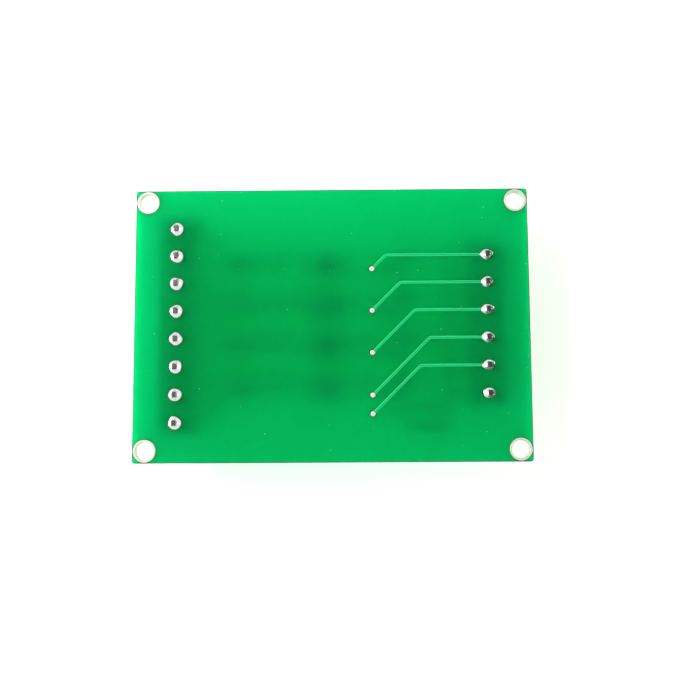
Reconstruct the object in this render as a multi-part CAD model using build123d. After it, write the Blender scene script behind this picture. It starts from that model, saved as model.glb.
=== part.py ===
"""Four-channel opto-isolated level shifter board with screw terminals.

The board lies face down, on the flat tops of its two terminal blocks, with its solder side up.
Millimetres, +Z up. The origin is on the surface that it lies on, under the centre of the board.
+X points to the output terminals and +Y to the first channel.
"""

import os
from math import atan2, degrees, hypot

from build123d import *

# Circuit board: glass-epoxy laminate, green coated, with square edges
board_length = 72.0
board_width = 50.0
board_thickness = 1.6
board_corner_radius = 0.4
copper_thickness = 0.05
track_width = 0.5

# Fits: parts that are soldered or pressed together, and parts that run in each other
seat_clearance = 0.02
running_clearance = 0.05
sliding_clearance = 0.1

# Four plated mounting holes for M3 screws
mounting_hole_diameter = 3.3
mounting_pad_diameter = 4.1
mounting_inset = 2.2
plating_thickness = 0.04

# Screw terminals, sold as two-way blocks that hook together side by side
terminal_pitch = 5.08
ways_per_block = 2
input_blocks = 4
output_blocks = 3
pins_per_channel = 2
pin_row_inset = 7.6

# Folded contact strip and its solder pin
contact_thickness = 0.8
pin_width = 1.0
pin_protrusion = 1.4
pin_tip_taper = 0.08
pin_tip_length = 0.2

# Rising clamp: a square brass box nut that lifts the wire against the contact
clamp_depth = 4.4
clamp_side = 0.5
clamp_floor = 0.6
clamp_nut = 1.2
clamp_lift_clearance = 0.1
wire_gap = 2.2
wire_gap_left = 0.25

# M3 captive screw
screw_diameter = 2.9
screw_head_diameter = 3.6
screw_head_height = 1.25
screw_head_recess = 0.15
screw_slot_width = 0.6
screw_slot_depth = 0.6

# Moulded housing of one two-way block
housing_standoff = 0.15
housing_foot_diameter = 0.7
housing_foot_inset = 0.6
pin_setback = 3.6
front_wall = 1.0
back_wall = 1.4
way_wall = 0.88
ceiling_wall = 0.6
ceiling_clearance = 0.1
entry_flare = 0.2
entry_lead_in = 0.35
front_slope_depth = 0.7
front_slope_height = 1.8
back_chamfer = 0.5
rail_width = 0.7
rail_flare = 0.15
rail_depth = 0.35

# Solder fillets on the terminal pins
solder_pad_diameter = 2.3
solder_pad_edge = 0.06
solder_height = 0.6
solder_collar = 0.06
solder_hollow = 0.06

# Plated vias at the ends of the five solder-side tracks
via_drill = 0.6
via_pad_diameter = 1.0
via_crown = 0.05
via_column_x = 7.36
first_via_y = 10.17
channel_pitch = 7.71
channels = 4
supply_via_drop = 3.38

# Optocouplers: four-lead mini-flat packages
opto_x = -0.6
opto_rise = 1.1
opto_length = 3.6
opto_width = 4.4
opto_height = 2.0
opto_standoff = 0.1
opto_edge_chamfer = 0.25
opto_dot_diameter = 0.7
opto_dot_depth = 0.1
opto_dot_inset = 0.85
leads_per_side = 2
lead_pitch = 2.54
lead_width = 0.4
lead_thickness = 0.2
lead_shoulder = 0.5
lead_slope = 0.15
lead_foot = 0.65

# Chip parts: length, width, height and end-cap length
large_chip_length = 3.2
large_chip_width = 1.6
large_chip_height = 0.55
large_chip_cap = 0.5
small_chip_length = 2.0
small_chip_width = 1.25
small_chip_height = 0.5
small_chip_cap = 0.4
capacitor_height = 1.25
led_base_height = 0.35
led_lens_length = 1.1
led_lens_height = 0.45
led_lens_taper = 0.15
cap_lip = 0.03
pad_overhang = 0.5
pad_margin = 0.1
fillet_length = 0.35
fillet_height = 0.3

# Columns of chip parts on the component side, and the two supply bars
input_resistor_x = -16.0
indicator_x = -10.5
pullup_x = 10.4
supply_bar_x = 13.2
ground_bar_x = 21.0
bypass_x = 17.0
bypass_drop = 2.2
power_row_drop = 5.9
power_led_x = 15.4
power_resistor_x = 18.6
input_fan_out = 4.6
upper_input_rise = 2.1

# Heights of the terminal, counted from the board's face
contact_foot_z = housing_standoff
clamp_bottom_z = contact_foot_z + contact_thickness + clamp_lift_clearance
wire_floor_z = clamp_bottom_z + clamp_floor
plate_bottom_z = wire_floor_z + wire_gap
plate_top_z = plate_bottom_z + contact_thickness
nut_bottom_z = plate_top_z + sliding_clearance
clamp_top_z = nut_bottom_z + clamp_nut
clamp_travel = wire_gap - wire_gap_left
ceiling_z = clamp_top_z + clamp_travel + ceiling_clearance
seat_z = ceiling_z + ceiling_wall
head_z = seat_z + running_clearance
housing_height = head_z + screw_head_height + screw_head_recess

# Depths of the terminal, counted from the pin, with the wire entry at the negative side
front_x = -pin_setback
clamp_front_x = front_x + front_wall + sliding_clearance
clamp_back_x = clamp_front_x + clamp_depth
clamp_x = (clamp_front_x + clamp_back_x) / 2
leg_front_x = clamp_back_x + sliding_clearance
leg_back_x = leg_front_x + contact_thickness
chamber_front_x = front_x + front_wall
chamber_back_x = leg_back_x + sliding_clearance
back_x = chamber_back_x + back_wall
clamp_width = terminal_pitch - way_wall - 2 * sliding_clearance
window_width = clamp_width - 2 * clamp_side
strip_width = window_width - 2 * sliding_clearance
block_width = ways_per_block * terminal_pitch

# Levels and rows of the whole board
component_face_z = housing_height
solder_face_z = component_face_z + board_thickness
pin_row_x = board_length / 2 - pin_row_inset
mounting_x = board_length / 2 - mounting_inset
mounting_y = board_width / 2 - mounting_inset
lead_reach = lead_shoulder + lead_slope + lead_foot
lead_span = opto_width + 2 * lead_reach
pin_half_diagonal = hypot(contact_thickness, pin_width) / 2
pin_hole_radius = pin_half_diagonal + solder_collar
via_radius = via_drill / 2
cut_overrun = 1.0


def centred_row(count, pitch):
    """Places of a row about zero, from the highest down."""
    return [((count - 1) / 2 - i) * pitch for i in range(count)]


input_pin_ys = centred_row(input_blocks * ways_per_block, terminal_pitch)
output_pin_ys = centred_row(output_blocks * ways_per_block, terminal_pitch)
channel_via_ys = [first_via_y - i * channel_pitch for i in range(channels)]
channel_ys = [y + opto_rise for y in channel_via_ys]
supply_via_y = channel_via_ys[-1] - supply_via_drop
via_ys = [*channel_via_ys, supply_via_y]
bypass_y = channel_via_ys[-1] - bypass_drop
power_row_y = channel_via_ys[-1] - power_row_drop


def block(x0, x1, y0, y1, z0, z1):
    """A box between two opposite corners."""
    size = Box(x1 - x0, y1 - y0, z1 - z0)
    return Pos((x0 + x1) / 2, (y0 + y1) / 2, (z0 + z1) / 2) * size


def rod(radius, z0, z1, x=0.0, y=0.0):
    """A round bar along Z."""
    return Pos(x, y, (z0 + z1) / 2) * Cylinder(radius, z1 - z0)


def face_down(x, y):
    """Puts a part that stands on the component face under it, with its own X kept."""
    return Pos(x, y, component_face_z) * Rot(180, 0, 0)


def input_place(y):
    """Puts a terminal part on the input side, wire entry towards -X."""
    return face_down(-pin_row_x, y)


def output_place(y):
    """Puts a terminal part on the output side, wire entry towards +X."""
    return Pos(pin_row_x, y, component_face_z) * Rot(0, 180, 0)


def track(points, width=track_width):
    """A flat copper track with round corners and ends, through the given points."""
    strips = []
    for (x0, y0), (x1, y1) in zip(points, points[1:]):
        run = hypot(x1 - x0, y1 - y0)
        if run > seat_clearance:
            turn = degrees(atan2(y1 - y0, x1 - x0))
            place = Pos((x0 + x1) / 2, (y0 + y1) / 2) * Rot(0, 0, turn)
            strips.append(place * SlotCenterToCenter(run, width))
    return Sketch() + strips


def discs(places, diameter):
    """Round lands at a list of places."""
    return Sketch() + [Pos(x, y) * Circle(diameter / 2) for x, y in places]


def save(name, *solids):
    """Writes one node. Several solids stay separate in it."""
    shape = solids[0] if len(solids) == 1 else Compound(children=list(solids))
    shape.label = name
    export_step(shape, f"parts/{name}.step")


# Circuit board

def circuit_board():
    outline = RectangleRounded(board_length, board_width, board_corner_radius)
    board = Pos(0, 0, component_face_z) * extrude(outline, board_thickness)
    low = component_face_z - cut_overrun
    high = solder_face_z + cut_overrun
    mounting_cut = mounting_hole_diameter / 2 + plating_thickness + seat_clearance
    pin_cut = pin_hole_radius + seat_clearance
    via_cut = via_radius + seat_clearance
    cuts = [rod(mounting_cut, low, high, x, y) for x, y in mounting_places()]
    cuts += [rod(pin_cut, low, high, -pin_row_x, y) for y in input_pin_ys]
    cuts += [rod(pin_cut, low, high, pin_row_x, y) for y in output_pin_ys]
    cuts += [rod(via_cut, low, high, via_column_x, y) for y in via_ys]
    return board - cuts


def mounting_places():
    return [(sx * mounting_x, sy * mounting_y) for sy in (1, -1) for sx in (-1, 1)]


def mounting_hole_plating(x, y):
    """Tinned copper eyelet: a barrel through the board with a flat ring on each face."""
    bore = mounting_hole_diameter / 2
    low = component_face_z - copper_thickness
    high = solder_face_z + copper_thickness
    eyelet = rod(bore + plating_thickness, low, high, x, y)
    ring = mounting_pad_diameter / 2
    eyelet += rod(ring, low, component_face_z, x, y)
    eyelet += rod(ring, solder_face_z, high, x, y)
    return eyelet - rod(bore, low - cut_overrun, high + cut_overrun, x, y)


def via(y):
    """Plated and tin-filled hole with a round land on each face."""
    low = component_face_z - copper_thickness
    high = solder_face_z + copper_thickness
    land = via_pad_diameter / 2
    filled = rod(via_radius, low, high + via_crown, via_column_x, y)
    filled += rod(land, low, component_face_z, via_column_x, y)
    return filled + rod(land, solder_face_z, high, via_column_x, y)


def solder_side_tracks():
    """Five tracks that run straight in from the output pins, then at 45 degrees to their vias."""
    runs = []
    for pin_y, via_y in zip(output_pin_ys, via_ys):
        bend = (via_column_x + pin_y - via_y, pin_y)
        runs.append(track([(pin_row_x, pin_y), bend, (via_column_x, via_y)]))
    lands = discs([(pin_row_x, y) for y in output_pin_ys], solder_pad_diameter)
    lands += discs([(via_column_x, y) for y in via_ys], via_pad_diameter)
    copper = [extrude(run - lands, copper_thickness) for run in runs]
    return [Pos(0, 0, solder_face_z) * strip for strip in copper]


# Screw terminals, each built standing on the board with its first pin row at X 0

def way_ys():
    return centred_row(ways_per_block, terminal_pitch)


def terminal_housing():
    """Moulded two-way block: chambers open below, wire entries in front, screw wells on top."""
    side = block_width / 2
    top = housing_height
    profile = Polyline(
        (front_x, housing_standoff),
        (back_x, housing_standoff),
        (back_x, top - back_chamfer),
        (back_x - back_chamfer, top),
        (front_x + front_slope_depth, top),
        (front_x, top - front_slope_height),
        close=True,
    )
    body = Pos(0, side, 0) * extrude(Plane.XZ * make_face(profile), block_width)
    for y in way_ys():
        body -= way_cavity(y)
    body += Pos(0, side, 0) * dovetail(rail_width, rail_depth)
    groove_width = rail_width + 2 * sliding_clearance
    body -= Pos(0, -side, 0) * dovetail(groove_width, rail_depth + sliding_clearance)
    foot = housing_foot_diameter / 2
    foot_xs = (front_x + housing_foot_inset, back_x - housing_foot_inset)
    foot_ys = (side - housing_foot_inset, housing_foot_inset - side)
    feet = [rod(foot, 0, housing_standoff, x, y) for x in foot_xs for y in foot_ys]
    return body + feet


def way_cavity(y):
    """What is hollow in the housing at one way: clamp chamber, wire entry, screw hole and well."""
    half = clamp_width / 2 + sliding_clearance
    chamber = block(chamber_front_x, chamber_back_x, y - half, y + half, 0, ceiling_z)
    entry_half = window_width / 2 + entry_flare
    entry_low = wire_floor_z - entry_flare
    entry_high = plate_top_z
    outside = front_x - cut_overrun
    entry = block(outside, chamber_front_x, y - entry_half, y + entry_half, entry_low, entry_high)
    mouth_half = entry_half + entry_lead_in
    mouth = Pos(front_x, y, (entry_low + entry_high) / 2) * Rot(0, 90, 0)
    inner = Rectangle(entry_high - entry_low, 2 * entry_half)
    outer = Rectangle(entry_high - entry_low + 2 * entry_lead_in, 2 * mouth_half)
    lead_in = mouth * loft([outer, Pos(0, 0, entry_lead_in) * inner])
    hole_radius = screw_diameter / 2 + sliding_clearance
    well_radius = screw_head_diameter / 2 + sliding_clearance
    hole = rod(hole_radius, ceiling_z, seat_z, clamp_x, y)
    well = rod(well_radius, seat_z, housing_height + cut_overrun, clamp_x, y)
    return chamber + entry + lead_in + hole + well


def dovetail(width, depth):
    """Upright rail that widens outwards, along +Y from Y 0, in the middle of the back wall."""
    middle = back_x - back_wall / 2
    near = width / 2
    far = near + rail_flare
    outline = Polyline(
        (middle - near, 0),
        (middle + near, 0),
        (middle + far, depth),
        (middle - far, depth),
        close=True,
    )
    height = housing_height - back_chamfer - housing_standoff
    return Pos(0, 0, housing_standoff) * extrude(make_face(outline), height)


def terminal_contact():
    """One folded strip: clamp plate, leg down the back, foot along the board and solder pin."""
    half = strip_width / 2
    foot_top = contact_foot_z + contact_thickness
    foot_front = -contact_thickness / 2
    plate = block(clamp_front_x, leg_back_x, -half, half, plate_bottom_z, plate_top_z)
    leg = block(leg_front_x, leg_back_x, -half, half, contact_foot_z, plate_top_z)
    foot = block(foot_front, leg_back_x, -half, half, contact_foot_z, foot_top)
    return plate + leg + foot + solder_pin()


def solder_pin():
    """Square pin down through the board, with a blunt tapered tip."""
    tip_z = -board_thickness - pin_protrusion
    shoulder_z = tip_z + pin_tip_length
    half_x = contact_thickness / 2
    half_y = pin_width / 2
    shank = block(-half_x, half_x, -half_y, half_y, shoulder_z, contact_foot_z)
    wide = Rectangle(contact_thickness, pin_width)
    narrow = Rectangle(contact_thickness - 2 * pin_tip_taper, pin_width - 2 * pin_tip_taper)
    return shank + loft([Pos(0, 0, tip_z) * narrow, Pos(0, 0, shoulder_z) * wide])


def terminal_clamp():
    """Box nut: open front and back for the wire, with the screw's hole in its upper wall."""
    half = clamp_width / 2
    window = window_width / 2
    front = clamp_front_x - cut_overrun
    back = clamp_back_x + cut_overrun
    box = block(clamp_front_x, clamp_back_x, -half, half, clamp_bottom_z, clamp_top_z)
    box -= block(front, back, -window, window, wire_floor_z, nut_bottom_z)
    bore = screw_diameter / 2 + running_clearance
    return box - rod(bore, nut_bottom_z, clamp_top_z + cut_overrun, clamp_x)


def terminal_screw():
    """Captive screw with a slotted cheese head. Its tip stops short of the contact plate."""
    tip_z = plate_top_z + sliding_clearance
    top = head_z + screw_head_height
    screw = rod(screw_diameter / 2, tip_z, head_z, clamp_x)
    screw += rod(screw_head_diameter / 2, head_z, top, clamp_x)
    reach = screw_head_diameter
    half = screw_slot_width / 2
    slot_floor = top - screw_slot_depth
    slot = block(clamp_x - reach, clamp_x + reach, -half, half, slot_floor, top + cut_overrun)
    return screw - slot


def solder_joint():
    """Hollow-sided fillet on its land, with the solder that fills the hole around the pin."""
    land = solder_pad_diameter / 2
    collar = pin_half_diagonal + solder_collar
    rim = (land, solder_pad_edge)
    neck = (collar, solder_height)
    side = SagittaArc(rim, neck, solder_hollow)
    outline = Polyline(
        neck,
        (0, solder_height),
        (0, -board_thickness),
        (pin_hole_radius, -board_thickness),
        (pin_hole_radius, 0),
        (land, 0),
        rim,
    )
    section = make_face(Plane.XZ * (outline + side))
    fillet_body = revolve(section, Axis.Z)
    half_x = contact_thickness / 2
    half_y = pin_width / 2
    low = -board_thickness - cut_overrun
    high = solder_height + cut_overrun
    return fillet_body - block(-half_x, half_x, -half_y, half_y, low, high)


# Component side: each part is built standing on the board's face

def opto_body():
    """Moulded package with bevelled edges and a moulded dot at the first lead."""
    low = copper_thickness + opto_standoff
    high = low + opto_height
    half_x = opto_width / 2
    half_y = opto_length / 2
    body = block(-half_x, half_x, -half_y, half_y, low, high)
    edges = body.edges().group_by(Axis.Z)[-1]
    body = chamfer(edges, opto_edge_chamfer)
    dot_x = opto_dot_inset - half_x
    dot_y = half_y - opto_dot_inset
    return body - rod(opto_dot_diameter / 2, high - opto_dot_depth, high + cut_overrun, dot_x, dot_y)


def opto_leads():
    """Four gull-wing leads, bent down from the package to their lands."""
    root_z = copper_thickness + opto_standoff + opto_height / 2
    root_x = opto_width / 2
    knee_x = root_x + lead_shoulder
    heel_x = knee_x + lead_slope
    toe_x = heel_x + lead_foot
    half = lead_thickness / 2
    sole_z = copper_thickness
    outline = Polyline(
        (root_x, root_z + half),
        (knee_x + half, root_z + half),
        (heel_x + half, sole_z + lead_thickness),
        (toe_x, sole_z + lead_thickness),
        (toe_x, sole_z),
        (heel_x - half, sole_z),
        (knee_x - half, root_z - half),
        (root_x, root_z - half),
        close=True,
    )
    lead = extrude(Plane.XZ * make_face(outline), lead_width / 2, both=True)
    rows = centred_row(leads_per_side, lead_pitch)
    right = [Pos(0, y, 0) * lead for y in rows]
    left = [Pos(0, y, 0) * Rot(0, 0, 180) * lead for y in rows]
    return right + left


def chip_core(length, width, height, cap):
    """What shows between a chip's two end caps."""
    half = length / 2 - cap
    low = copper_thickness + cap_lip
    return block(-half, half, -width / 2, width / 2, low, low + height)


def chip_caps(length, width, height, cap):
    """The two tinned ends of a chip, a little proud of its core."""
    low = copper_thickness
    high = low + height + 2 * cap_lip
    half = width / 2 + cap_lip
    right = block(length / 2 - cap, length / 2, -half, half, low, high)
    return [right, Rot(0, 0, 180) * right]


def chip_fillets(length, width):
    """Solder that climbs the two ends of a chip from its lands."""
    end = length / 2
    low = copper_thickness
    outline = Polyline(
        (end, low),
        (end + fillet_length, low),
        (end, low + fillet_height),
        close=True,
    )
    right = extrude(Plane.XZ * make_face(outline), width / 2, both=True)
    return [right, Rot(0, 0, 180) * right]


def led_lens():
    """Clear lens on the middle of an indicator's base, with drafted ends."""
    low = copper_thickness + cap_lip + led_base_height
    foot = Rectangle(led_lens_length, small_chip_width)
    crown = Rectangle(led_lens_length - 2 * led_lens_taper, small_chip_width)
    return loft([Pos(0, 0, low) * foot, Pos(0, 0, low + led_lens_height) * crown])


def chip_lands(x, y, length, width, cap):
    """The two copper lands under a chip's ends."""
    reach = cap + pad_margin + pad_overhang
    middle = length / 2 + pad_overhang - reach / 2
    land = Rectangle(reach, width + 2 * pad_margin)
    return [Pos(x + side * middle, y) * land for side in (-1, 1)]


def opto_lands(y):
    reach = lead_foot + pad_overhang
    middle = lead_span / 2 + pad_overhang - reach / 2
    land = Rectangle(reach, lead_width + 2 * pad_margin)
    rows = [y + offset for offset in centred_row(leads_per_side, lead_pitch)]
    return [Pos(opto_x + side * middle, row) * land for row in rows for side in (-1, 1)]


large_chip = (large_chip_length, large_chip_width, large_chip_height, large_chip_cap)
small_chip = (small_chip_length, small_chip_width, small_chip_height, small_chip_cap)
led_chip = (small_chip_length, small_chip_width, led_base_height, small_chip_cap)
capacitor_chip = (small_chip_length, small_chip_width, capacitor_height, small_chip_cap)

link_ys = [y + lead_pitch / 2 for y in channel_ys]
input_resistor_places = [(input_resistor_x, y) for y in channel_ys]
pullup_places = [(pullup_x, y) for y in channel_via_ys]
# The 0-ohm links bridge the supply bar, so that the ground runs can cross it
link_places = [(supply_bar_x, y) for y in link_ys]
power_resistor_places = [(power_resistor_x, power_row_y)]
indicator_places = [(indicator_x, y) for y in channel_ys] + [(power_led_x, power_row_y)]
bypass_places = [(bypass_x, bypass_y)]
output_resistor_places = pullup_places + link_places + power_resistor_places

chips = [(large_chip, input_resistor_places), (small_chip, output_resistor_places)]
chips += [(led_chip, indicator_places), (capacitor_chip, bypass_places)]


def component_side_lands():
    lands = []
    for (length, width, height, cap), places in chips:
        for x, y in places:
            lands += chip_lands(x, y, length, width, cap)
    for y in channel_ys:
        lands += opto_lands(y)
    return lands


def input_tracks():
    """From each pair of pins: the upper to the optocoupler, the lower through resistor and light."""
    runs = []
    fan_x = input_fan_out - pin_row_x
    opto_left = opto_x - lead_span / 2
    for i, y in enumerate(channel_ys):
        upper, lower = input_pin_ys[pins_per_channel * i : pins_per_channel * (i + 1)]
        lead_high = y + lead_pitch / 2
        lead_low = y - lead_pitch / 2
        over_y = y + upper_input_rise
        over_x = fan_x + abs(upper - over_y)
        drop_x = opto_left - (over_y - lead_high)
        over = [(-pin_row_x, upper), (fan_x, upper), (over_x, over_y)]
        runs.append([*over, (drop_x, over_y), (opto_left, lead_high)])
        join_x = fan_x + abs(lower - y)
        runs.append([(-pin_row_x, lower), (fan_x, lower), (join_x, y), (input_resistor_x, y)])
        turn_x = opto_left - (y - lead_low)
        runs.append([(input_resistor_x, y), (turn_x, y), (opto_left, lead_low)])
    return runs


def output_tracks():
    """Optocoupler outputs to their vias and pull-ups, and the supply and ground bars."""
    runs = []
    opto_right = opto_x + lead_span / 2
    for y, via_y, link_y in zip(channel_ys, channel_via_ys, link_ys):
        lead_low = y - lead_pitch / 2
        runs.append([(opto_right, lead_low), (via_column_x, via_y), (supply_bar_x, via_y)])
        runs.append([(opto_right, link_y), (ground_bar_x, link_y)])
    top_y = channel_via_ys[0]
    runs.append([(supply_bar_x, top_y), (supply_bar_x, power_row_y), (ground_bar_x, power_row_y)])
    runs.append([(via_column_x, supply_via_y), (supply_bar_x, supply_via_y)])
    runs.append([(supply_bar_x, bypass_y), (ground_bar_x, bypass_y)])
    runs.append([(ground_bar_x, link_ys[0]), (ground_bar_x, power_row_y)])
    ground_y = output_pin_ys[-1]
    runs.append([(ground_bar_x, ground_y), (pin_row_x, ground_y)])
    return runs


def chip_gaps():
    """The bare strip under each chip, between its lands, where only a crossing bar may pass."""
    gaps = []
    for (length, width, height, cap), places in chips:
        span = length - 2 * (cap + pad_margin)
        for x, y in places:
            gaps.append(Pos(x, y) * Rectangle(span, track_width))
    return gaps


def component_side_tracks():
    """Copper tracks on the component face, cut where a chip bridges them and where a land begins."""
    rows = Sketch() + [track(run) for run in input_tracks() + output_tracks()]
    rows -= chip_gaps()
    bar_top_y = channel_via_ys[0]
    bars = track([(supply_bar_x, bar_top_y), (supply_bar_x, power_row_y)])
    pins = [(-pin_row_x, y) for y in input_pin_ys] + [(pin_row_x, y) for y in output_pin_ys]
    holes = discs(pins, 2 * (pin_hole_radius + seat_clearance))
    via_lands = discs([(via_column_x, y) for y in via_ys], via_pad_diameter)
    copper = rows + bars - holes - via_lands - component_side_lands()
    return Pos(0, 0, component_face_z - copper_thickness) * extrude(copper, copper_thickness)


def placed(parts, places):
    """Copies of a part, or of each part of a list, under the board at a list of places."""
    group = parts if isinstance(parts, list) else [parts]
    return [face_down(x, y) * part for x, y in places for part in group]


# Writing the nodes

def write_board():
    save("circuit_board", circuit_board())
    save("mounting_hole_platings", *[mounting_hole_plating(x, y) for x, y in mounting_places()])
    save("output_traces", *solder_side_tracks())
    save("vias", *[via(y) for y in via_ys])
    save("component_side_traces", *component_side_tracks().solids())
    level = Pos(0, 0, component_face_z - copper_thickness)
    lands = [level * extrude(land, copper_thickness) for land in component_side_lands()]
    save("component_side_pads", *lands)


def write_terminals(side, place, blocks, pin_ys):
    housing = terminal_housing()
    for i, y in enumerate(centred_row(blocks, block_width)):
        save(f"{side}_terminal_housing_{i + 1}", place(y) * housing)
    contact = terminal_contact()
    save(f"{side}_terminal_contacts", *[place(y) * contact for y in pin_ys])
    joint = solder_joint()
    row_x = pin_row_x if side == "output" else -pin_row_x
    save(f"{side}_solder_joints", *[Pos(row_x, y, solder_face_z) * joint for y in pin_ys])
    screw = terminal_screw()
    clamp = terminal_clamp()
    for i, y in enumerate(pin_ys):
        save(f"{side}_screw_{i + 1}", place(y) * screw)
        save(f"{side}_clamp_{i + 1}", place(y) * clamp)


def write_components():
    body = opto_body()
    for i, y in enumerate(channel_ys):
        save(f"optocoupler_{i + 1}", face_down(opto_x, y) * body)
    save("optocoupler_leads", *placed(opto_leads(), [(opto_x, y) for y in channel_ys]))
    save("indicator_led_bases", *placed(chip_core(*led_chip), indicator_places))
    save("indicator_led_lenses", *placed(led_lens(), indicator_places))
    save("input_resistors", *placed(chip_core(*large_chip), input_resistor_places))
    save("output_resistors", *placed(chip_core(*small_chip), output_resistor_places))
    save("supply_capacitor", *placed(chip_core(*capacitor_chip), bypass_places))
    caps = []
    fillets = []
    for size, places in chips:
        caps += placed(chip_caps(*size), places)
        fillets += placed(chip_fillets(*size[:2]), places)
    save("chip_end_caps", *caps)
    save("surface_mount_solder", *fillets)


os.makedirs("parts", exist_ok=True)
write_board()
write_terminals("input", input_place, input_blocks, input_pin_ys)
write_terminals("output", output_place, output_blocks, output_pin_ys)
write_components()
print("housing height", housing_height, "depth", back_x - front_x, "clamp travel", clamp_travel)
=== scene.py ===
"""Looks of a four-channel level shifter board that lies face down, with its solder side up.

The file follows the board as it is made: laminate, copper, tinning, small components, screw terminals
and their solder, then the table that it lies on, the light and the camera. All lengths are in metres.
"""

import math
import random

import bmesh
import bpy
from mathutils import Euler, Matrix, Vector


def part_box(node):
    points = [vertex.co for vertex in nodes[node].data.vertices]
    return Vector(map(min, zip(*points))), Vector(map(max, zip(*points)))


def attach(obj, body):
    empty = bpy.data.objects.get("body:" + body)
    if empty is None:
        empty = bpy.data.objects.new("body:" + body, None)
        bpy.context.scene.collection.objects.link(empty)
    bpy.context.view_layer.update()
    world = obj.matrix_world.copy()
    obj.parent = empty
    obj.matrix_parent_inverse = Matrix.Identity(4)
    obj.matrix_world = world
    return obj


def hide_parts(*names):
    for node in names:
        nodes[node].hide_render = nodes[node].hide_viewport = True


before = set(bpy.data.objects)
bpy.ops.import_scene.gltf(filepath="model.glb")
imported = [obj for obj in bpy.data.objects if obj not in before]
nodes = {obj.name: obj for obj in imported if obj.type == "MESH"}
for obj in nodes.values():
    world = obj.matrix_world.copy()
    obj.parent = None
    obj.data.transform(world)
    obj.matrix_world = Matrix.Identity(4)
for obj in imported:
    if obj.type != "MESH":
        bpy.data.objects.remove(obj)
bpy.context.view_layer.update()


# Circuit board
# Woven glass cloth in epoxy, 1.6 mm thick, drilled, routed to a rectangle and coated green on both faces.
# It is translucent: light from below and from its raw edges shines through, and pieces under it shade it.
mm = 0.001
board_low, board_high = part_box("circuit_board")
solder_face = board_high.z
component_face = board_low.z


def linear(hex_colour):
    """An sRGB hex colour as linear red, green, blue and alpha."""
    parts = [int(hex_colour[i:i + 2], 16) / 255 for i in (1, 3, 5)]
    return [p / 12.92 if p <= 0.04045 else ((p + 0.055) / 1.055) ** 2.4 for p in parts] + [1.0]


def new_finish(name):
    """A material with nothing in it yet."""
    finish = bpy.data.materials.new(name)
    finish.use_nodes = True
    finish.node_tree.nodes.clear()
    return finish


def add(finish, kind, inputs=None, **settings):
    """Adds a node. An input takes a value or another node's output, and a setting is the node's own."""
    node = finish.node_tree.nodes.new("ShaderNode" + kind)
    for setting, value in settings.items():
        setattr(node, setting, value)
    for socket, value in (inputs or {}).items():
        if isinstance(value, bpy.types.NodeSocket):
            finish.node_tree.links.new(value, node.inputs[socket])
        else:
            node.inputs[socket].default_value = value
    return node


def dress(finish, *names):
    """Gives the named CAD nodes one finish."""
    for name in names:
        nodes[name].data.materials.clear()
        nodes[name].data.materials.append(finish)


# Green solder mask on glass epoxy: a cured ink, even and glossy over a faint weave, with a little dust. Part
# of the light comes back from the ink, and part goes on through the laminate, so light from below glows in
# the same green. The raw edges let light in, which brightens the rim.
mask_green = "#00A658"
mask_green_thin = "#00AE60"
mask_patch = 9 * mm
mask_roughness = (0.1, 0.18)
mask_shine = 0.4
epoxy_ior = 1.5
glow_green = "#00FF98"
see_through_share = 0.45
light_reach = 5 * mm
light_reach_shares = (0.3, 1.0, 0.8)
weave_pitch = 0.58 * mm
weave_relief = 0.002 * mm
wave_radians = 20  # a wave texture turns by this much over one unit of its scale
dust_spacing = 4 * mm
dust_size = 0.1 * mm
dust_free_share = 0.6
dust_pale = "#B8FFDC"
raw_edge = "#B9C48A"
edge_glow = "#F4FFFF"
level_limit = 0.5  # a normal's Z beyond this belongs to a coated face, below it to a cut edge

mask = new_finish("green solder mask on glass epoxy")
place = add(mask, "TexCoord").outputs["Object"]
patches = add(mask, "TexNoise", {"Vector": place, "Scale": 1 / mask_patch, "Detail": 3.0})
ink = add(mask, "Mix", {0: patches.outputs[0], 6: linear(mask_green), 7: linear(mask_green_thin)},
          data_type="RGBA")
specks = add(mask, "TexVoronoi", {"Vector": place, "Scale": 1 / dust_spacing}, voronoi_dimensions="2D")
speck_luck = add(mask, "SeparateColor", {"Color": specks.outputs["Color"]})
speck_size = add(mask, "MapRange", {"Value": speck_luck.outputs[0], "From Min": dust_free_share,
                                    "To Max": dust_size / dust_spacing})
speck = add(mask, "Math", {0: specks.outputs["Distance"], 1: speck_size.outputs[0]}, operation="LESS_THAN")
skin = add(mask, "NewGeometry")
facing = add(mask, "SeparateXYZ", {0: skin.outputs["True Normal"]}).outputs["Z"]
on_face = add(mask, "Math", {0: facing, 1: level_limit}, operation="GREATER_THAN")
dust = add(mask, "Math", {0: speck.outputs[0], 1: on_face.outputs[0]}, operation="MULTIPLY")
dusty_ink = add(mask, "Mix", {0: dust.outputs[0], 6: ink.outputs[2], 7: linear(dust_pale)}, data_type="RGBA")
flatness = add(mask, "Math", {0: facing}, operation="ABSOLUTE")
on_edge = add(mask, "Math", {0: flatness.outputs[0], 1: level_limit}, operation="LESS_THAN")
coat = add(mask, "Mix", {0: on_edge.outputs[0], 6: dusty_ink.outputs[2], 7: linear(raw_edge)},
           data_type="RGBA")
weave_scale = 2 * math.pi / wave_radians / weave_pitch
warp = add(mask, "TexWave", {"Vector": place, "Scale": weave_scale}, bands_direction="X")
weft = add(mask, "TexWave", {"Vector": place, "Scale": weave_scale}, bands_direction="Y")
cloth = add(mask, "Math", {0: warp.outputs["Fac"], 1: weft.outputs["Fac"]}, operation="MAXIMUM")
relief = add(mask, "Bump", {"Height": cloth.outputs[0], "Distance": weave_relief, "Strength": 1.0})
gloss = add(mask, "MapRange", {"Value": patches.outputs[0], "To Min": mask_roughness[0],
                               "To Max": mask_roughness[1]})
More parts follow.
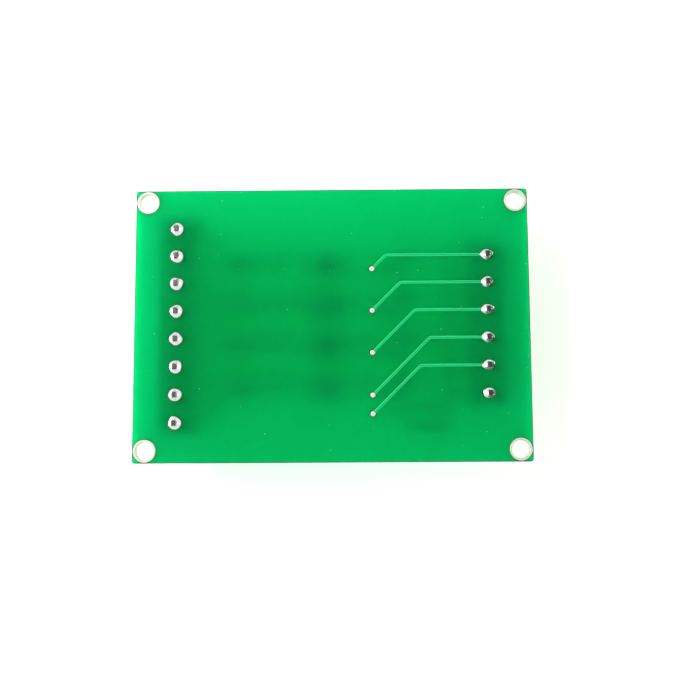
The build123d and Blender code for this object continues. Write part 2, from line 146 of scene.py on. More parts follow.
inked = add(mask, "BsdfPrincipled", {
    "Base Color": coat.outputs[2], "Roughness": gloss.outputs[0], "IOR": epoxy_ior,
    "Specular IOR Level": mask_shine, "Normal": relief.outputs[0], "Subsurface Weight": 1.0,
    "Subsurface Radius": light_reach_shares, "Subsurface Scale": light_reach})
glowing = add(mask, "BsdfTranslucent", {"Color": linear(glow_green)})
outside = add(mask, "MixShader", {0: see_through_share, 1: inked.outputs[0], 2: glowing.outputs[0]})
passing = add(mask, "BsdfTransparent")
rough_cut = add(mask, "BsdfTranslucent", {"Color": linear(edge_glow)})
inside = add(mask, "MixShader", {0: on_edge.outputs[0], 1: passing.outputs[0], 2: rough_cut.outputs[0]})
laminate = add(mask, "MixShader", {0: skin.outputs["Backfacing"], 1: outside.outputs[0],
                                   2: inside.outputs[0]})
add(mask, "OutputMaterial", {"Surface": laminate.outputs[0]})
dress(mask, "circuit_board")


# Tracks on the solder side
# Five lines of etched copper from the output pins to the vias, under the same green coat. The coat lies
# over each line as a low mound with a flat top.
copper_width = 0.32 * mm
coat_flank = 0.09 * mm
flat_top_share = 0.45
edge_rise_share = 0.95
flank_share = 0.35
flank_rise_share = 0.55
track_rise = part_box("output_traces")[1].z - solder_face
least_mitre = 0.1  # keeps the outside of a sharp turn from running away
weld_gap = 0.001 * mm
smooth_angle = math.radians(25)


def solids(node):
    """The lowest and highest corner of each separate solid in a CAD node, from +Y to -Y."""
    mesh = bmesh.new()
    mesh.from_mesh(nodes[node].data)
    bmesh.ops.remove_doubles(mesh, verts=mesh.verts, dist=weld_gap)
    unseen, boxes = set(mesh.verts), []
    while unseen:
        group, front = [], [unseen.pop()]
        while front:
            vertex = front.pop()
            group.append(vertex.co)
            linked = [edge.other_vert(vertex) for edge in vertex.link_edges]
            front += [v for v in linked if v in unseen]
            unseen -= set(linked)
        boxes.append(tuple(Vector(limit(p[i] for p in group) for i in range(3)) for limit in (min, max)))
    mesh.free()
    return sorted(boxes, key=lambda box: (-box[0].y, box[0].x))


def on_solder_face(box):
    """The middle of a box, brought up or down to the board's solder side."""
    centre = (box[0] + box[1]) / 2
    return Vector((centre.x, centre.y, solder_face))


def new_piece(name, mesh, finish, replaced):
    """An object on the board, which may stand for a CAD node. It is smooth, with its sharp edges kept."""
    bmesh.ops.recalc_face_normals(mesh, faces=mesh.faces)
    data = bpy.data.meshes.new(name)
    mesh.to_mesh(data)
    mesh.free()
    data.shade_smooth()
    data.set_sharp_from_angle(angle=smooth_angle)
    data.materials.append(finish)
    piece = bpy.data.objects.new(name, data)
    bpy.context.scene.collection.objects.link(piece)
    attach(piece, "board")
    if replaced:
        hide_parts(replaced)


def sweep(mesh, section, points):
    """Carries a section of (across, up) points along a flat line, mitred where the line turns."""
    runs = [(b - a).normalized() for a, b in zip(points, points[1:])]
    rows = []
    for i, point in enumerate(points):
        before, after = runs[max(i - 1, 0)], runs[min(i, len(runs) - 1)]
        across = Vector((-(before + after).y, (before + after).x, 0)).normalized()
        across *= 1 / max(across.dot(Vector((-after.y, after.x, 0))), least_mitre)
        rows.append([mesh.verts.new(point + across * s + Vector((0, 0, up))) for s, up in section])
    for low, high in zip(rows, rows[1:]):
        for k in range(len(section)):
            mesh.faces.new((low[k - 1], low[k], high[k], high[k - 1]))
    mesh.faces.new(rows[0])
    mesh.faces.new(rows[-1])


half_copper = copper_width / 2
half_mound = [(half_copper * flat_top_share, track_rise), (half_copper, track_rise * edge_rise_share),
              (half_copper + coat_flank * flank_share, track_rise * flank_rise_share),
              (half_copper + coat_flank, 0)]
mound = [(-across, up) for across, up in reversed(half_mound)] + half_mound
via_places = [on_solder_face(box) for box in solids("vias")]
output_places = [on_solder_face(box) for box in solids("output_solder_joints")]
track_mesh = bmesh.new()
for via, joint in zip(via_places, output_places):
    bend = Vector((via.x + joint.y - via.y, joint.y, solder_face))
    sweep(track_mesh, mound, [joint, bend, via])

# Solder mask over copper: the same ink, lighter where metal lies behind it, and lightest along the edges of
# the copper, where the ink runs thin.
track_green = "#00AC5C"
track_green_thin = "#30E890"
track_roughness = 0.22
track_shine = 0.3
level_slope = 0.9999  # a normal's Z below this belongs to the sloping edge of the mound
thin_edge_share = 0.75
ink_streak = 0.4 * mm
ink_relief = 0.01 * mm

coated_copper = new_finish("green solder mask on copper")
place = add(coated_copper, "TexCoord").outputs["Object"]
uneven = add(coated_copper, "TexNoise", {"Vector": place, "Scale": 1 / ink_streak, "Detail": 3.0})
skin = add(coated_copper, "NewGeometry")
facing = add(coated_copper, "SeparateXYZ", {0: skin.outputs["True Normal"]}).outputs["Z"]
flatness = add(coated_copper, "Math", {0: facing}, operation="ABSOLUTE")
on_edge = add(coated_copper, "Math", {0: flatness.outputs[0], 1: level_slope}, operation="LESS_THAN")
streaks = add(coated_copper, "MapRange", {"Value": uneven.outputs[0], "To Max": 1 - thin_edge_share})
thinness = add(coated_copper, "Math", {0: on_edge.outputs[0], 1: thin_edge_share, 2: streaks.outputs[0]},
               operation="MULTIPLY_ADD")
ink = add(coated_copper, "Mix", {0: thinness.outputs[0], 6: linear(track_green),
                                 7: linear(track_green_thin)}, data_type="RGBA")
relief = add(coated_copper, "Bump", {"Height": uneven.outputs[0], "Distance": ink_relief, "Strength": 0.5})
surface = add(coated_copper, "BsdfPrincipled", {
    "Base Color": ink.outputs[2], "Roughness": track_roughness, "IOR": epoxy_ior,
    "Specular IOR Level": track_shine, "Normal": relief.outputs[0]})
add(coated_copper, "OutputMaterial", {"Surface": surface.outputs[0]})
new_piece("coated_tracks", track_mesh, coated_copper, "output_traces")
dress(coated_copper, "component_side_traces")


# Vias
# Five plated holes, each filled level with tin and with a bare round land on both faces. They carry the
# tracks through the board.
via_rim = 0.05 * mm
via_low, via_high = solids("vias")[0]
via_radius = (via_high.x - via_low.x) / 2 - via_rim
via_crown = via_high.z - solder_face
via_foot = via_low.z - solder_face
via_crown_shares = ((0.45, 0.95), (0.8, 0.7), (1.0, 0.1))
via_foot_share = 0.8
via_barrel_share = 0.5
via_barrel = via_radius * via_barrel_share
board_depth = component_face - solder_face
pinhole = 0.02 * mm  # turned loops stop this far from their axis
ring_segments = 48


def turn(mesh, centre, profile, shape=None):
    """Turns a closed loop of (radius, height) points about an upright line, reshaped by shape if given."""
    rows = []
    for radius, height in profile:
        row = []
        for step in range(ring_segments):
            angle = 2 * math.pi * step / ring_segments
            point = Vector((radius * math.cos(angle), radius * math.sin(angle), height))
            point = shape(point, angle) if shape else point
            row.append(mesh.verts.new(centre + point))
        rows.append(row)
    for k in range(len(rows)):
        for step in range(ring_segments):
            mesh.faces.new((rows[k - 1][step - 1], rows[k - 1][step], rows[k][step], rows[k][step - 1]))


via_profile = [(pinhole, via_crown)]
via_profile += [(via_radius * out, via_crown * up) for out, up in via_crown_shares]
via_profile += [(via_radius, 0), (via_barrel, 0), (via_barrel, board_depth), (via_radius, board_depth),
                (via_radius * via_foot_share, via_foot), (pinhole, via_foot)]
via_mesh = bmesh.new()
for via in via_places:
    turn(via_mesh, via, via_profile)

# Hot-dipped tin: a thin coat wiped level with hot air, pale and slightly yellow, and dull from its fine
# crystals.
tin_pale = "#EBF8DF"
tin_dull = "#DEEBD2"
tin_patch = 0.35 * mm
tin_relief = 0.01 * mm
tin_roughness = (0.4, 0.6)
tin_metal_share = 0.35

dipped_tin = new_finish("hot-dipped tin")
place = add(dipped_tin, "TexCoord").outputs["Object"]
bloom = add(dipped_tin, "TexNoise", {"Vector": place, "Scale": 1 / tin_patch, "Detail": 4.0})
shade = add(dipped_tin, "Mix", {0: bloom.outputs[0], 6: linear(tin_pale), 7: linear(tin_dull)},
            data_type="RGBA")
frost = add(dipped_tin, "MapRange", {"Value": bloom.outputs[0], "To Min": tin_roughness[0],
                                     "To Max": tin_roughness[1]})
relief = add(dipped_tin, "Bump", {"Height": bloom.outputs[0], "Distance": tin_relief, "Strength": 0.4})
surface = add(dipped_tin, "BsdfPrincipled", {
    "Base Color": shade.outputs[2], "Metallic": tin_metal_share, "Roughness": frost.outputs[0],
    "Normal": relief.outputs[0]})
add(dipped_tin, "OutputMaterial", {"Surface": surface.outputs[0]})
new_piece("tinned_vias", via_mesh, dipped_tin, "vias")
dress(dipped_tin, "component_side_pads")


# Mounting holes
# Four plated holes for M3 screws, with a narrow ring of tinned copper on each face. The tin pulls back from
# the drilled edge and rounds it.
ring_width = 0.4 * mm
ring_edge = 0.06 * mm
ring_inner_slope = 0.02 * mm
ring_outer_slope = 0.01 * mm
ring_round = 0.1 * mm
sleeve_wall = 0.04 * mm
ring_slope_share = 0.5

ring_mesh = bmesh.new()
for ring_low, ring_high in solids("mounting_hole_platings"):
    top, bottom = ring_high.z - solder_face, ring_low.z - solder_face
    outer = (ring_high.x - ring_low.x) / 2
    bore = outer - ring_width
    sleeve = bore + sleeve_wall
    ring_profile = [(bore, -ring_round), (bore + ring_inner_slope, top * ring_slope_share),
                    (bore + ring_edge, top), (outer - ring_edge, top),
                    (outer - ring_outer_slope, top * ring_slope_share), (outer, 0), (sleeve, 0),
                    (sleeve, board_depth), (outer, board_depth), (outer - ring_edge, bottom),
                    (bore + ring_edge, bottom), (bore, board_depth + ring_round)]
    turn(ring_mesh, on_solder_face((ring_low, ring_high)), ring_profile)
new_piece("tinned_mounting_rings", ring_mesh, dipped_tin, "mounting_hole_platings")


# Optocouplers
# Four mini-flat packages moulded in black filled epoxy, with four formed and tinned leads each, soldered
# flat on their lands.

# Moulded black epoxy: near black, with the fine matt grain of its mould, drawn coarser than life so that it
# shows.
epoxy_black = "#1C1C1E"
epoxy_black_worn = "#2A2A2B"
epoxy_grain = 0.08 * mm
epoxy_relief = 0.01 * mm
epoxy_roughness = 0.55
filled_epoxy_ior = 1.55

black_epoxy = new_finish("moulded black epoxy")
place = add(black_epoxy, "TexCoord").outputs["Object"]
grit = add(black_epoxy, "TexNoise", {"Vector": place, "Scale": 1 / epoxy_grain, "Detail": 2.0})
shade = add(black_epoxy, "Mix", {0: grit.outputs[0], 6: linear(epoxy_black), 7: linear(epoxy_black_worn)},
            data_type="RGBA")
relief = add(black_epoxy, "Bump", {"Height": grit.outputs[0], "Distance": epoxy_relief, "Strength": 0.5})
surface = add(black_epoxy, "BsdfPrincipled", {
    "Base Color": shade.outputs[2], "Roughness": epoxy_roughness, "IOR": filled_epoxy_ior,
    "Normal": relief.outputs[0]})
add(black_epoxy, "OutputMaterial", {"Surface": surface.outputs[0]})
dress(black_epoxy, *[name for name in nodes if name.startswith("optocoupler_") and name[-1].isdigit()])

# Bright tin plate: smooth and silvery on formed leads and on the fired ends of chip parts.
plate_bright = "#D8D8D4"
plate_dull = "#C4C3BE"
plate_streak = 0.15 * mm
plate_roughness = (0.22, 0.38)

tin_plate = new_finish("bright tin plate")
place = add(tin_plate, "TexCoord").outputs["Object"]
haze = add(tin_plate, "TexNoise", {"Vector": place, "Scale": 1 / plate_streak, "Detail": 3.0})
shade = add(tin_plate, "Mix", {0: haze.outputs[0], 6: linear(plate_bright), 7: linear(plate_dull)},
            data_type="RGBA")
frost = add(tin_plate, "MapRange", {"Value": haze.outputs[0], "To Min": plate_roughness[0],
                                    "To Max": plate_roughness[1]})
surface = add(tin_plate, "BsdfPrincipled", {
    "Base Color": shade.outputs[2], "Metallic": 1.0, "Roughness": frost.outputs[0]})
add(tin_plate, "OutputMaterial", {"Surface": surface.outputs[0]})
dress(tin_plate, "optocoupler_leads", "chip_end_caps")


# Chip parts and indicator lights
# Resistors are alumina with a black glaze, the capacitor is a block of fired ceramic, and each light is a
# white laminate base with a clear cast lens. All are soldered down by their tinned ends.

# Black resistor glaze: glassy and almost black, in slow waves where it flowed.
glaze_black = "#17181B"
glaze_black_thin = "#26282C"
glaze_wave = 0.6 * mm
glaze_relief = 0.02 * mm
glaze_roughness = 0.25
glass_ior = 1.52

black_glaze = new_finish("black resistor glaze")
place = add(black_glaze, "TexCoord").outputs["Object"]
flow = add(black_glaze, "TexNoise", {"Vector": place, "Scale": 1 / glaze_wave, "Detail": 2.0})
shade = add(black_glaze, "Mix", {0: flow.outputs[0], 6: linear(glaze_black), 7: linear(glaze_black_thin)},
            data_type="RGBA")
relief = add(black_glaze, "Bump", {"Height": flow.outputs[0], "Distance": glaze_relief, "Strength": 0.4})
surface = add(black_glaze, "BsdfPrincipled", {
    "Base Color": shade.outputs[2], "Roughness": glaze_roughness, "IOR": glass_ior,
    "Normal": relief.outputs[0]})
add(black_glaze, "OutputMaterial", {"Surface": surface.outputs[0]})
dress(black_glaze, "input_resistors", "output_resistors")

# Fired brown ceramic: matt and tan, with fine pores, drawn coarser than life so that they show.
ceramic_brown = "#9A7A55"
ceramic_tan = "#B8966B"
ceramic_pore = 0.1 * mm
ceramic_relief = 0.01 * mm
ceramic_roughness = 0.6
ceramic_ior = 1.7

fired_ceramic = new_finish("fired brown ceramic")
place = add(fired_ceramic, "TexCoord").outputs["Object"]
pores = add(fired_ceramic, "TexNoise", {"Vector": place, "Scale": 1 / ceramic_pore, "Detail": 4.0})
shade = add(fired_ceramic, "Mix", {0: pores.outputs[0], 6: linear(ceramic_brown), 7: linear(ceramic_tan)},
            data_type="RGBA")
relief = add(fired_ceramic, "Bump", {"Height": pores.outputs[0], "Distance": ceramic_relief,
                                     "Strength": 0.5})
surface = add(fired_ceramic, "BsdfPrincipled", {
    "Base Color": shade.outputs[2], "Roughness": ceramic_roughness, "IOR": ceramic_ior,
    "Normal": relief.outputs[0]})
add(fired_ceramic, "OutputMaterial", {"Surface": surface.outputs[0]})
dress(fired_ceramic, "supply_capacitor")

# White filled laminate: cream and half matt, mottled by its short fibres.
laminate_white = "#E6E2D4"
laminate_cream = "#D5D0BF"
laminate_fibre = 0.12 * mm
laminate_roughness = 0.5

white_laminate = new_finish("white filled laminate")
place = add(white_laminate, "TexCoord").outputs["Object"]
fibres = add(white_laminate, "TexNoise", {"Vector": place, "Scale": 1 / laminate_fibre, "Detail": 3.0})
shade = add(white_laminate, "Mix", {0: fibres.outputs[0], 6: linear(laminate_white),
                                    7: linear(laminate_cream)}, data_type="RGBA")
surface = add(white_laminate, "BsdfPrincipled", {
    "Base Color": shade.outputs[2], "Roughness": laminate_roughness, "IOR": epoxy_ior})
add(white_laminate, "OutputMaterial", {"Surface": surface.outputs[0]})
dress(white_laminate, "indicator_led_bases")

# Clear cast epoxy: glossy and pale yellow, milky enough to hide the chip under it.
lens_pale = "#F4F2DC"
lens_yellow = "#ECE9C8"
lens_swirl = 0.5 * mm
lens_roughness = 0.12
lens_clear_share = 0.3

clear_epoxy = new_finish("clear cast epoxy")
place = add(clear_epoxy, "TexCoord").outputs["Object"]
swirl = add(clear_epoxy, "TexNoise", {"Vector": place, "Scale": 1 / lens_swirl, "Detail": 2.0})
shade = add(clear_epoxy, "Mix", {0: swirl.outputs[0], 6: linear(lens_pale), 7: linear(lens_yellow)},
            data_type="RGBA")
surface = add(clear_epoxy, "BsdfPrincipled", {
    "Base Color": shade.outputs[2], "Roughness": lens_roughness, "IOR": glass_ior,
    "Transmission Weight": lens_clear_share})
add(clear_epoxy, "OutputMaterial", {"Surface": surface.outputs[0]})
dress(clear_epoxy, "indicator_led_lenses")


# Screw terminal housings
# Seven two-way blocks moulded in green nylon, four at the input side and three at the output side. They
# stand side by side on the board, held by their solder pins.

# Moulded green nylon: deep green and satin, with the fine grain of a spark-eroded mould and softened edges.
nylon_green = "#1C7F4C"
nylon_green_pale = "#238A54"
nylon_cloud = 4 * mm
nylon_grain = 0.18 * mm
nylon_relief = 0.02 * mm
nylon_roughness = 0.45
nylon_ior = 1.53
moulded_edge = 0.12 * mm

green_nylon = new_finish("moulded green nylon")
place = add(green_nylon, "TexCoord").outputs["Object"]
sparks = add(green_nylon, "TexNoise", {"Vector": place, "Scale": 1 / nylon_grain, "Detail": 3.0})
clouds = add(green_nylon, "TexNoise", {"Vector": place, "Scale": 1 / nylon_cloud, "Detail": 2.0})
shade = add(green_nylon, "Mix", {0: clouds.outputs[0], 6: linear(nylon_green), 7: linear(nylon_green_pale)},
            data_type="RGBA")
soft_edge = add(green_nylon, "Bevel", {"Radius": moulded_edge}, samples=4)
relief = add(green_nylon, "Bump", {"Height": sparks.outputs[0], "Distance": nylon_relief, "Strength": 0.35,
                                   "Normal": soft_edge.outputs[0]})
surface = add(green_nylon, "BsdfPrincipled", {
    "Base Color": shade.outputs[2], "Roughness": nylon_roughness, "IOR": nylon_ior,
    "Normal": relief.outputs[0]})
add(green_nylon, "OutputMaterial", {"Surface": surface.outputs[0]})
dress(green_nylon, *[name for name in nodes if "terminal_housing" in name])


# Contact strips and their pins
# Fourteen strips of tinned brass, stamped and folded. A pin at one end of each goes through the board, and
# its cropped tip stands out of the solder.

# Tinned brass strip: silvery along its length, and dull at the tip where the cutter left bare metal. The
# tip is also painted dark grey, a painted reflection of the dark ceiling in its flat cut end. The grain
# from rolling is drawn coarser than life so that it shows.
strip_bright = "#CFCDC6"
strip_dull = "#BDBAB0"
tip_painted_dark = "#85827C"
tip_painted_grey = "#9C968C"
crop_depth = 0.42 * mm
crop_fade_share = 0.5
strip_grain = 0.2 * mm
strip_relief = 0.02 * mm
strip_roughness = 0.32
tip_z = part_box("input_terminal_contacts")[1].z

tinned_brass = new_finish("tinned brass strip")
place = add(tinned_brass, "TexCoord").outputs["Object"]
height = add(tinned_brass, "SeparateXYZ", {0: place}).outputs["Z"]
roll = add(tinned_brass, "TexNoise", {"Vector": place, "Scale": 1 / strip_grain, "Detail": 3.0})
# The top of each pin takes the darker colours: duller bare metal, and a painted reflection of the dark
# ceiling.
cropped = add(tinned_brass, "MapRange", {"Value": height, "From Min": tip_z - crop_depth,
                                         "From Max": tip_z - crop_fade_share * crop_depth})
tinned = add(tinned_brass, "Mix", {0: roll.outputs[0], 6: linear(strip_bright), 7: linear(strip_dull)},
             data_type="RGBA")
bare = add(tinned_brass, "Mix", {0: roll.outputs[0], 6: linear(tip_painted_dark), 7: linear(tip_painted_grey)},
           data_type="RGBA")
shade = add(tinned_brass, "Mix", {0: cropped.outputs[0], 6: tinned.outputs[2], 7: bare.outputs[2]},
            data_type="RGBA")
relief = add(tinned_brass, "Bump", {"Height": roll.outputs[0], "Distance": strip_relief, "Strength": 0.4})
surface = add(tinned_brass, "BsdfPrincipled", {
    "Base Color": shade.outputs[2], "Metallic": 1.0, "Roughness": strip_roughness,
    "Normal": relief.outputs[0]})
add(tinned_brass, "OutputMaterial", {"Surface": surface.outputs[0]})
dress(tinned_brass, "input_terminal_contacts", "output_terminal_contacts")


# Clamps and screws
# A brass box nut in each way rises on a steel M3 screw, whose slotted head is held under the housing's
# ceiling.

# Nickel-plated brass: warm silver, with a soft sheen from drawing. Its grain is drawn coarser than life so
# that it shows.
nickel_bright = "#C9C2B2"
nickel_warm = "#B5AC98"
nickel_grain = 0.25 * mm
nickel_roughness = (0.25, 0.4)

nickel_brass = new_finish("nickel-plated brass")
place = add(nickel_brass, "TexCoord").outputs["Object"]
draw = add(nickel_brass, "TexNoise", {"Vector": place, "Scale": 1 / nickel_grain, "Detail": 3.0})
shade = add(nickel_brass, "Mix", {0: draw.outputs[0], 6: linear(nickel_bright), 7: linear(nickel_warm)},
            data_type="RGBA")
frost = add(nickel_brass, "MapRange", {"Value": draw.outputs[0], "To Min": nickel_roughness[0],
                                       "To Max": nickel_roughness[1]})
surface = add(nickel_brass, "BsdfPrincipled", {
    "Base Color": shade.outputs[2], "Metallic": 1.0, "Roughness": frost.outputs[0]})
add(nickel_brass, "OutputMaterial", {"Surface": surface.outputs[0]})
dress(nickel_brass, *[name for name in nodes if "_clamp_" in name])

# Zinc-plated steel: a cool grey, slightly clouded.
zinc_bright = "#C8C9C8"
zinc_grey = "#AEB1B3"
zinc_spangle = 0.3 * mm
zinc_roughness = (0.28, 0.45)

zinc_plate = new_finish("zinc-plated steel")
place = add(zinc_plate, "TexCoord").outputs["Object"]
spangle = add(zinc_plate, "TexNoise", {"Vector": place, "Scale": 1 / zinc_spangle, "Detail": 4.0})
shade = add(zinc_plate, "Mix", {0: spangle.outputs[0], 6: linear(zinc_bright), 7: linear(zinc_grey)},
            data_type="RGBA")
frost = add(zinc_plate, "MapRange", {"Value": spangle.outputs[0], "To Min": zinc_roughness[0],
                                     "To Max": zinc_roughness[1]})
surface = add(zinc_plate, "BsdfPrincipled", {
    "Base Color": shade.outputs[2], "Metallic": 1.0, "Roughness": frost.outputs[0]})
add(zinc_plate, "OutputMaterial", {"Surface": surface.outputs[0]})
dress(zinc_plate, *[name for name in nodes if "_screw_" in name])


# Solder joints
# Fourteen fillets of solder, drawn up each pin as the board crossed a solder wave. Each froze a little
# differently, so none is quite round. The output lands narrow to a point where their tracks leave.
shoulder_radius = 0.52 * mm
toe = 0.04 * mm
toe_undercut = 0.03 * mm
hollow = 1.25  # the power of the fillet's hollow curve
plug_share = 0.55
fillet_steps = 9
wave_count = 3
first_wave = 2  # lobes of the slowest wave around a fillet
wave_shares = (0.01, 0.05)
drawn_towards = Vector((0.82, -0.57, 0.0))
solder_rows = {
    "input_solder_joints": {"height": 0.48 * mm, "drawn": 0.0, "breadth_share": 1.0, "point_share": 0.0,
                            "shift": 0.0, "seed": 11},
    "output_solder_joints": {"height": 0.58 * mm, "drawn": 0.42 * mm, "breadth_share": 0.88,
                             "point_share": 0.35, "shift": -0.1 * mm, "seed": 23}}


def land_breadth(angle, row):
    """How broad a row's land is across its track, at an angle about its pin. It narrows to the track."""
    towards_track = (1 - math.cos(angle)) / 2
    return row["breadth_share"] * (1 - row["point_share"] * towards_track ** 2)


# Bright solder: silver white and almost mirror smooth, with slight ripples where it froze.
solder_bright = "#F0F0EE"
solder_grey = "#DCDDDC"
solder_crystal = 0.3 * mm
solder_relief = 0.03 * mm
solder_roughness = (0.12, 0.28)

bright_solder = new_finish("bright solder")
place = add(bright_solder, "TexCoord").outputs["Object"]
crystals = add(bright_solder, "TexNoise", {"Vector": place, "Scale": 1 / solder_crystal, "Detail": 3.0})
shade = add(bright_solder, "Mix", {0: crystals.outputs[0], 6: linear(solder_bright),
                                   7: linear(solder_grey)}, data_type="RGBA")
frost = add(bright_solder, "MapRange", {"Value": crystals.outputs[0], "To Min": solder_roughness[0],
                                        "To Max": solder_roughness[1]})
relief = add(bright_solder, "Bump", {"Height": crystals.outputs[0], "Distance": solder_relief,
                                     "Strength": 0.4})
surface = add(bright_solder, "BsdfPrincipled", {
    "Base Color": shade.outputs[2], "Metallic": 1.0, "Roughness": frost.outputs[0],
    "Normal": relief.outputs[0]})
add(bright_solder, "OutputMaterial", {"Surface": surface.outputs[0]})
dress(bright_solder, "surface_mount_solder")

for joints, row in solder_rows.items():
    chance = random.Random(row["seed"])
    joint_mesh = bmesh.new()
    for low, high in solids(joints):
        land = (high.x - low.x) / 2
        depth = low.z - solder_face
        plug = land * plug_share
        profile = [(plug, depth), (plug, 0), (land - toe_undercut, 0)]
        for k in range(fillet_steps + 1):
            climb = k / fillet_steps
            profile.append((land + (shoulder_radius - land) * climb, toe + row["height"] * climb))
        profile += [(pinhole, profile[-1][1]), (pinhole, depth)]
        swings = [chance.uniform(0, 2 * math.pi) for _ in range(wave_count)]
        sizes = [chance.uniform(*wave_shares) for _ in range(wave_count)]

        def frozen(point, angle):
            """One fillet's own unevenness, with its peak drawn to one side."""
            if point.z < 0:
                return point
            wave = sum(size * math.cos((first_wave + i) * angle + swing)
                       for i, (size, swing) in enumerate(zip(sizes, swings)))
            climb = max(0, (point.z - toe) / row["height"])
            swell = 1 + wave * (1 - climb)
            height = point.z + row["height"] * (climb ** hollow * (1 + wave) - climb)
            across = land_breadth(angle, row)
            lean = drawn_towards * row["drawn"] * climb
            return Vector((point.x * swell, point.y * swell * across, height)) + lean

        pin_place = on_solder_face((low, high))
        pin_place.x += row["shift"]
        turn(joint_mesh, pin_place, profile, frozen)
    new_piece(joints.replace("_solder_joints", "_pin_fillets"), joint_mesh, bright_solder, joints)


# Openings in the solder mask
# The ink stops a little short of every land and of the routed outline, so a thin line of bare, darker
# laminate shows around the metal and along the board's edges.
opening_gap = 0.14 * mm
opening_rise = 0.004 * mm
tucked_share = 0.8
routed_margin = 0.14 * mm
board_corner = 0.4 * mm
round_land = {"breadth_share": 1.0, "point_share": 0.0, "shift": 0.0}

# Bare glass epoxy: a darker green than the coated board, half matt, with the strands of its cloth.
bare_green = "#06542A"
bare_green_pale = "#0B6434"
bare_roughness = 0.5

bare_laminate = new_finish("bare glass epoxy")
place = add(bare_laminate, "TexCoord").outputs["Object"]
strands = add(bare_laminate, "TexNoise", {"Vector": place, "Scale": 1 / weave_pitch, "Detail": 2.0})
shade = add(bare_laminate, "Mix", {0: strands.outputs[0], 6: linear(bare_green), 7: linear(bare_green_pale)},
            data_type="RGBA")
surface = add(bare_laminate, "BsdfPrincipled", {
    "Base Color": shade.outputs[2], "Roughness": bare_roughness, "IOR": epoxy_ior})
add(bare_laminate, "OutputMaterial", {"Surface": surface.outputs[0]})

opening_mesh = bmesh.new()
for lands in ("input_solder_joints", "output_solder_joints", "vias", "mounting_hole_platings"):
    row = solder_rows.get(lands, round_land)

    def around_land(point, angle):
        """A ring's point, brought in where the land is narrower."""
        return Vector((point.x, point.y * land_breadth(angle, row), point.z))

    for low, high in solids(lands):
        land = (high.x - low.x) / 2
        inner, outer = land * tucked_share, land + opening_gap
        land_place = on_solder_face((low, high))
        land_place.x += row["shift"]
        turn(opening_mesh, land_place,
             [(inner, 0), (inner, opening_rise), (outer, opening_rise), (outer, 0)], around_land)

left, right = board_low.x + board_corner, board_high.x - board_corner
front, back = board_low.y + board_corner, board_high.y - board_corner
for x0, x1, y0, y1 in ((board_low.x, board_low.x + routed_margin, front, back),
                       (board_high.x - routed_margin, board_high.x, front, back),
                       (left, right, board_low.y, board_low.y + routed_margin),
                       (left, right, board_high.y - routed_margin, board_high.y)):
    for vertex in bmesh.ops.create_cube(opening_mesh, size=1.0)["verts"]:
        vertex.co = Vector((x1 if vertex.co.x > 0 else x0, y1 if vertex.co.y > 0 else y0,
                            solder_face + (opening_rise if vertex.co.z > 0 else 0.0)))
new_piece("mask_openings", opening_mesh, bare_laminate, None)


# Table
# A sheet of white paper under the board, which keeps the board's soft shadow. It shows from above only, so
# it isn't in the way of a look from below.
paper_size = 1.2
paper_gap = 0.05 * mm

half_paper = paper_size / 2
corners = [(-half_paper, -half_paper), (half_paper, -half_paper), (half_paper, half_paper),
           (-half_paper, half_paper)]
paper_data = bpy.data.meshes.new("paper")
paper_data.from_pydata([(x, y, -paper_gap) for x, y in corners], [], [(0, 1, 2, 3)])
paper = bpy.data.objects.new("paper", paper_data)
bpy.context.scene.collection.objects.link(paper)

# White paper: dull and even. A glow that shows only to the camera, in reflections and through clear glass
# brings it to full white in the open, and leaves the light on the board as it is.
paper_white = "#F5F5F5"
pure_white = "#FFFFFF"
paper_glow = 0.55

white_paper = new_finish("white paper")
ray = add(white_paper, "LightPath")
through_glass = add(white_paper, "Math", {0: ray.outputs["Is Transmission Ray"],
                                          1: ray.outputs["Is Diffuse Ray"]}, operation="SUBTRACT")
seen = add(white_paper, "Math", {0: ray.outputs["Is Camera Ray"], 1: ray.outputs["Is Glossy Ray"]},
           operation="MAXIMUM")
seen = add(white_paper, "Math", {0: seen.outputs[0], 1: through_glass.outputs[0]}, operation="MAXIMUM")
glow_share = add(white_paper, "Math", {0: seen.outputs[0], 1: paper_glow}, operation="MULTIPLY")
lit = add(white_paper, "BsdfDiffuse", {"Color": linear(paper_white)})
glow = add(white_paper, "Emission", {"Color": linear(pure_white), "Strength": glow_share.outputs[0]})
sheet = add(white_paper, "AddShader", {0: lit.outputs[0], 1: glow.outputs[0]})
behind = add(white_paper, "NewGeometry").outputs["Backfacing"]
clear = add(white_paper, "BsdfTransparent")
one_sided = add(white_paper, "MixShader", {0: behind, 1: sheet.outputs[0], 2: clear.outputs[0]})
add(white_paper, "OutputMaterial", {"Surface": one_sided.outputs[0]})
paper_data.materials.append(white_paper)


# Light
# A white room with a dark ceiling, brighter and cooler to the left and warmer to the right. A small soft
# lamp stands at the upper left, and a low window at each side lights the board's edges.
wall_light = 0.46
wall_seen_in_gloss = 1.0
ceiling_light = 0.08
ceiling_edge = math.cos(math.radians(44))
ceiling_core = math.cos(math.radians(26))
window_side = (-2.1, 0.0, 0.0)  # points to the bright side, and its length says how bright
window_tint = "#F4FAFF"
shade_tint = "#FFEFC0"
shade_tint_at, window_tint_at = -1.6, 0.8
backdrop_light = 1.0

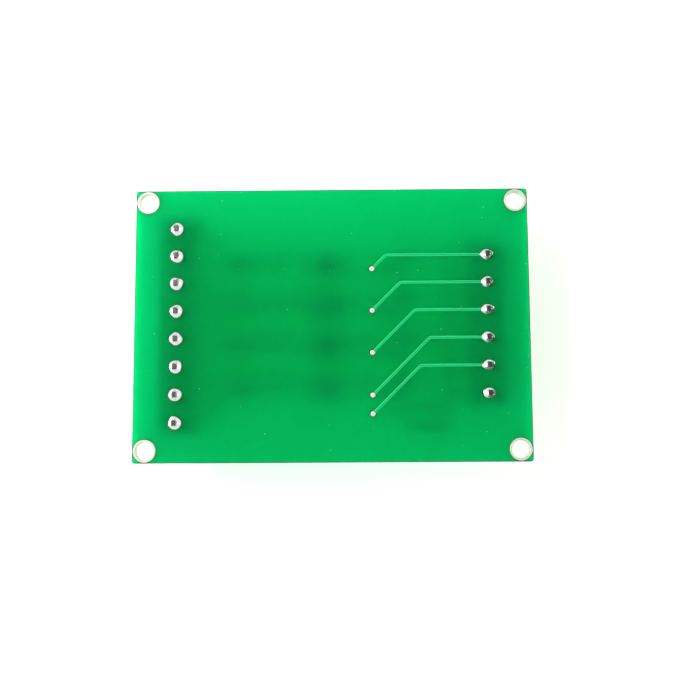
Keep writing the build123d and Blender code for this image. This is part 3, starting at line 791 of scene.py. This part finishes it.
room = bpy.data.worlds.new("white room")
room.use_nodes = True
room.node_tree.nodes.clear()
outward = add(room, "TexCoord").outputs["Generated"]
upward = add(room, "SeparateXYZ", {0: outward}).outputs["Z"]
window = add(room, "VectorMath", {0: outward, 1: window_side}, operation="DOT_PRODUCT").outputs["Value"]
window_glow = add(room, "Math", {0: window, 1: 0.0}, operation="MAXIMUM")
brighter = add(room, "Math", {0: window_glow.outputs[0], 1: 1.0}, operation="ADD")
lit_walls = add(room, "Math", {0: brighter.outputs[0], 1: wall_light}, operation="MULTIPLY")
ray = add(room, "LightPath")
walls = add(room, "Mix", {0: ray.outputs["Is Glossy Ray"], 2: lit_walls.outputs[0], 3: wall_seen_in_gloss})
overhead = add(room, "MapRange", {"Value": upward, "From Min": ceiling_edge, "From Max": ceiling_core},
               interpolation_type="SMOOTHSTEP")
level = add(room, "Mix", {0: overhead.outputs[0], 2: walls.outputs[0], 3: ceiling_light})
through_glass = add(room, "Math", {0: ray.outputs["Is Transmission Ray"], 1: ray.outputs["Is Diffuse Ray"]},
                    operation="SUBTRACT")
plain = add(room, "Math", {0: ray.outputs["Is Camera Ray"], 1: through_glass.outputs[0]},
            operation="MAXIMUM")
strength = add(room, "Mix", {0: plain.outputs[0], 2: level.outputs[0], 3: backdrop_light})
sunlit = add(room, "MapRange", {"Value": window, "From Min": shade_tint_at, "From Max": window_tint_at})
warmth = add(room, "Mix", {0: sunlit.outputs[0], 6: linear(shade_tint), 7: linear(window_tint)},
             data_type="RGBA")
neutral = add(room, "Math", {0: plain.outputs[0], 1: ray.outputs["Is Glossy Ray"]}, operation="MAXIMUM")
tint = add(room, "Mix", {0: neutral.outputs[0], 6: warmth.outputs[2], 7: linear(pure_white)},
           data_type="RGBA")
backdrop = add(room, "Background", {"Color": tint.outputs[2], "Strength": strength.outputs[0]})
add(room, "OutputWorld", {"Surface": backdrop.outputs[0]})
bpy.context.scene.world = room

lamps = {
    "soft lamp": {"place": (-0.19, 0.09, 0.21), "aim": (-0.01, 0.01, 0.0), "power": 0.052,
                  "width": 0.1, "height": 0.1, "spread": math.radians(50)},
    "left window": {"place": (-0.3, 0.03, 0.06), "aim": (0.0, 0.0, 0.0), "power": 0.45,
                    "width": 0.3, "height": 0.04, "spread": math.radians(180)},
    "right window": {"place": (0.3, 0.02, 0.06), "aim": (0.0, 0.0, 0.0), "power": 0.56,
                     "width": 0.3, "height": 0.04, "spread": math.radians(180)}}
for name, lamp in lamps.items():
    lamp_data = bpy.data.lights.new(name, "AREA")
    lamp_data.energy = lamp["power"]
    lamp_data.shape = "RECTANGLE"
    lamp_data.size, lamp_data.size_y = lamp["width"], lamp["height"]
    lamp_data.spread = lamp["spread"]
    lamp_object = bpy.data.objects.new(name, lamp_data)
    lamp_object.location = lamp["place"]
    beam = Vector(lamp["aim"]) - Vector(lamp["place"])
    lamp_object.rotation_euler = beam.to_track_quat("-Z", "Y").to_euler()
    bpy.context.scene.collection.objects.link(lamp_object)


# Camera
# A hand-held camera, almost straight above the board and tipped a little from its lower edge. Its place and
# lens give the photograph's perspective.
camera_place = Vector((4.54, -21.75, 173.9)) * mm
camera_turn = Euler((0.1043, 0.0085, -0.0059), "XYZ")
lens_mm = 46.29
sensor_mm = 36.0
nearest_seen = 1 * mm

camera_data = bpy.data.cameras.new("camera")
camera_data.sensor_width = sensor_mm
camera_data.lens = lens_mm
camera_data.clip_start = nearest_seen
camera = bpy.data.objects.new("camera", camera_data)
camera.location = camera_place
camera.rotation_euler = camera_turn
bpy.context.scene.collection.objects.link(camera)
bpy.context.scene.camera = camera
bpy.context.scene.view_settings.view_transform = "Standard"
